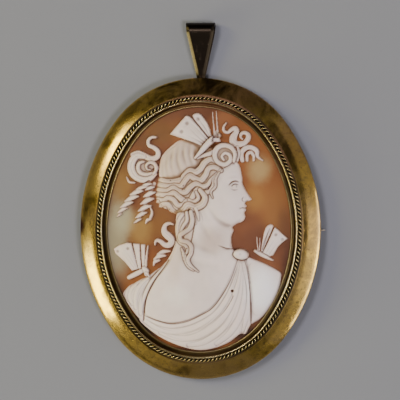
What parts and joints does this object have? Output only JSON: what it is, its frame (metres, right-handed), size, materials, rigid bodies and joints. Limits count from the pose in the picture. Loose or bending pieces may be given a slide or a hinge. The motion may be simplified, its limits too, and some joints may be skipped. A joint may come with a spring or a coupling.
{
  "type": "shell cameo pendant brooch",
  "caption": "Oval carved shell cameo in a gilt frame with a twisted wire trim, a folding bail to hang it by and a brooch pin behind.",
  "frame": {"origin": "on the surface that the cameo lies on, under the middle of the oval frame", "axes": "+X to the right across the face, +Y up along the face towards the bail, +Z out of the face"},
  "size_m": [0.0488, 0.071, 0.0101],
  "materials": {
    "gilt_frame": "worn polished gilt, tarnished in the recesses",
    "gilt_rope": "polished gilt wire with dark grooves",
    "shell_brown": "polished shell, mottled orange brown with paler patches",
    "shell_white": "satin carved shell, warmer where it is thin",
    "gilt_bail": "darkened gilt with brighter bevels",
    "pin_steel": "drawn wire, slightly tarnished"
  },
  "bodies": {
    "brooch": {"frame": "gilt_frame", "rope_trim": "gilt_rope", "shell_ground": "shell_brown", "shell_relief": "shell_white", "bail_hinge_pin": "gilt_frame", "brooch_pin": "pin_steel"},
    "bail": {"bail": "gilt_bail"}
  },
  "joints": [
    {"name": "bail_fold", "type": "hinge", "parent": "brooch", "child": "bail", "pos_m": [0, 0.029, 0.001], "axis": [-1, 0, 0], "range_deg": [0, 175]}
  ]
}
